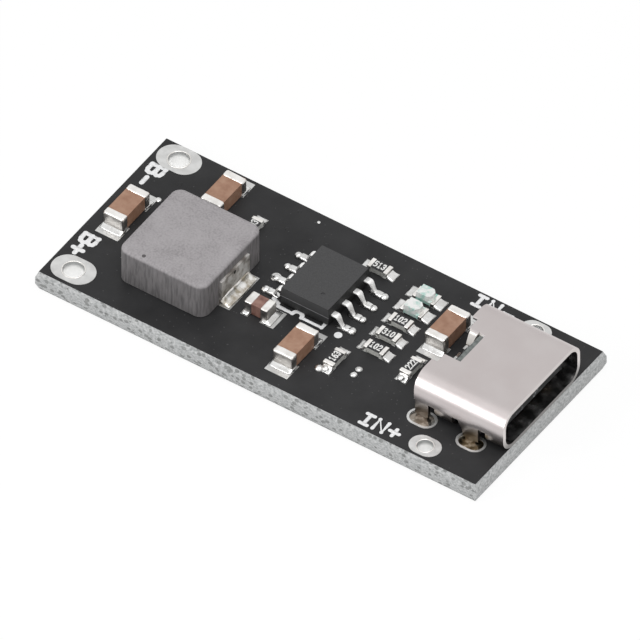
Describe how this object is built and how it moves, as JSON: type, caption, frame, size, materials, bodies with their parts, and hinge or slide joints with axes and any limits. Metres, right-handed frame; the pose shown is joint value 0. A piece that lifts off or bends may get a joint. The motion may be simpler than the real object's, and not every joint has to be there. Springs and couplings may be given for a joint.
{
  "type": "lithium battery charger module",
  "caption": "Small rectangular charger board with a USB-C receptacle at one end, wire pads at the corners, a moulded inductor, a charger chip and small surface-mount parts.",
  "frame": {"origin": "middle of the board underside", "axes": "+X along the board from the battery end to the receptacle, +Y across it towards the negative pads, +Z out of the component side"},
  "size_m": [0.0352, 0.0152, 0.0049],
  "materials": {
    "alumina": "matte",
    "black_nylon": "matte",
    "board_mask": "satin",
    "ceramic_dark": "satin",
    "ceramic_tan": "satin",
    "clear_resin": "satin",
    "copper_wire": "satin",
    "dark_glaze": "satin",
    "gold_contacts": "glossy",
    "lamp_board": "matte",
    "moulding_compound": "matte",
    "plate_steel": "satin",
    "pressed_powder": "matte",
    "shell_steel": "satin",
    "solder": "glossy",
    "tinned_clip": "satin",
    "tinned_copper": "satin",
    "tinned_ends": "satin",
    "tinned_lead_frame": "satin"
  },
  "bodies": {
    "root": {"battery_minus_pad": "tinned_copper", "battery_plus_pad": "tinned_copper", "capacitor_1_core": "ceramic_tan", "capacitor_1_ends": "tinned_ends", "capacitor_2_core": "ceramic_tan", "capacitor_2_ends": "tinned_ends", "capacitor_3_core": "ceramic_tan", "capacitor_3_ends": "tinned_ends", "capacitor_4_core": "ceramic_tan", "capacitor_4_ends": "tinned_ends", "capacitor_5_core": "ceramic_dark", "capacitor_5_ends": "tinned_ends", "chip_lands": "tinned_copper", "chip_solder": "solder", "ic_lands": "tinned_copper", "ic_leads_left": "tinned_lead_frame", "ic_leads_right": "tinned_lead_frame", "ic_package": "moulding_compound", "ic_solder": "solder", "ic_thermal_pad": "tinned_lead_frame", "inductor_clip_left": "tinned_clip", "inductor_clip_right": "tinned_clip", "inductor_core": "pressed_powder", "inductor_lands": "tinned_copper", "inductor_solder": "solder", "inductor_winding": "copper_wire", "input_minus_pad": "tinned_copper", "input_plus_pad": "tinned_copper", "lamp_1_core": "lamp_board", "lamp_1_ends": "tinned_ends", "lamp_1_lens": "clear_resin", "lamp_2_core": "lamp_board", "lamp_2_ends": "tinned_ends", "lamp_2_lens": "clear_resin", "printed_circuit_board": "board_mask", "resistor_1_core": "alumina", "resistor_1_ends": "tinned_ends", "resistor_2_core": "alumina", "resistor_2_ends": "tinned_ends", "resistor_3_core": "alumina", "resistor_3_ends": "tinned_ends", "resistor_4_core": "alumina", "resistor_4_ends": "tinned_ends", "resistor_5_core": "alumina", "resistor_5_ends": "tinned_ends", "resistor_6_core": "alumina", "resistor_6_ends": "tinned_ends", "resistor_7_core": "alumina", "resistor_7_ends": "tinned_ends", "resistor_glazes": "dark_glaze", "usb_contacts_lower": "gold_contacts", "usb_contacts_upper": "gold_contacts", "usb_housing": "black_nylon", "usb_leg_solder": "solder", "usb_mid_plate": "plate_steel", "usb_shell": "shell_steel", "usb_slot_lands": "tinned_copper", "usb_tail_lands": "tinned_copper", "usb_tail_solder": "solder"}
  },
  "joints": []
}
